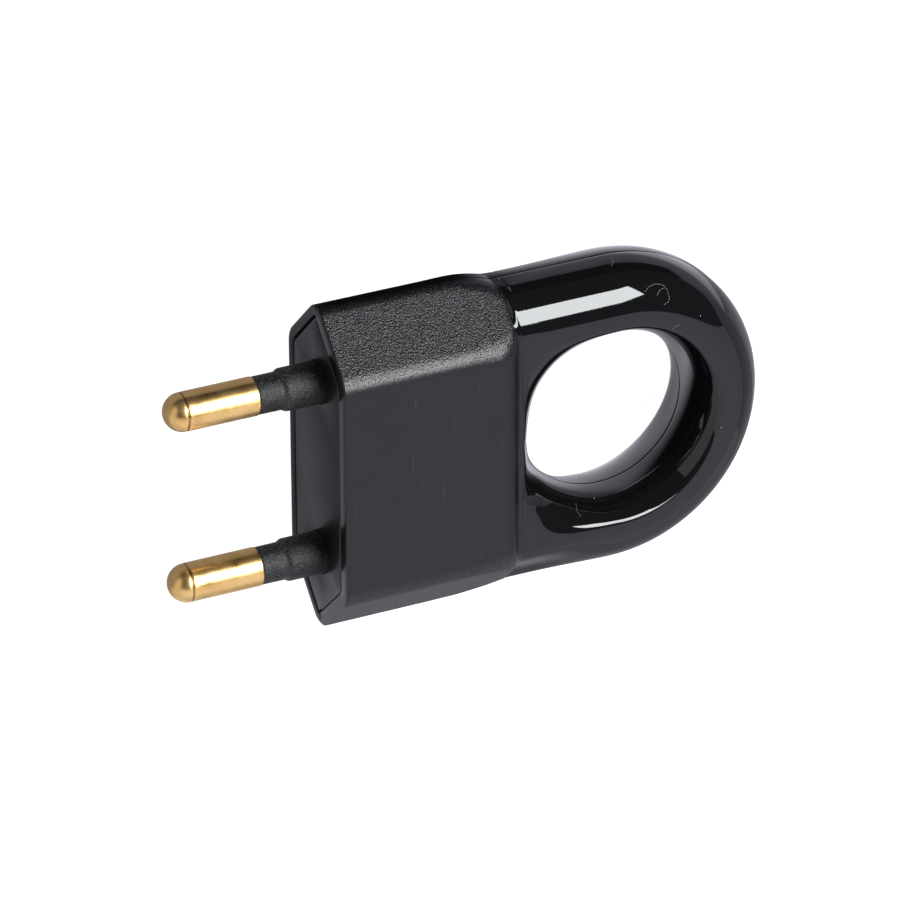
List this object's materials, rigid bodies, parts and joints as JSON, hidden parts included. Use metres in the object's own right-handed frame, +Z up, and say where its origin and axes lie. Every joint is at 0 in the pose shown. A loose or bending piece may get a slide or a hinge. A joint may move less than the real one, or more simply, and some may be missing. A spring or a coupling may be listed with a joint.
{
  "type": "europlug",
  "caption": "Flat two-pole mains plug with round part-sleeved brass pins, an openable two-shell case and a pull ring for a finger.",
  "frame": {"origin": "centre of the bounding box's bottom face: the plug lies on the flat outside of its lower shell", "axes": "+X from the pin tips towards the pull ring, +Y along the width (left pin side), +Z up through the thickness; the seam between the shells is at Z = 6.9 mm and the engagement face at X = -15.875 mm"},
  "size_m": [0.0646, 0.036, 0.0138],
  "materials": {
    "case": "black moulded plastic: glossy ring, satin and finely textured body",
    "carrier": "satin black moulded plastic",
    "pin_brass": "turned and polished brass",
    "sleeve": "dull black insulating plastic, faintly speckled",
    "plated_steel": "zinc-plated steel",
    "clamp": "dark moulded plastic"
  },
  "bodies": {
    "root": {"upper_shell": "case", "lower_shell": "case", "pin_carrier": "carrier", "contact_pin_left": "pin_brass", "contact_pin_right": "pin_brass", "pin_sleeve_left": "sleeve", "pin_sleeve_right": "sleeve", "terminal_screws": "plated_steel", "case_screw": "plated_steel", "case_nut": "plated_steel", "cord_clamp": "clamp", "cord_clamp_screw": "plated_steel"}
  },
  "joints": []
}
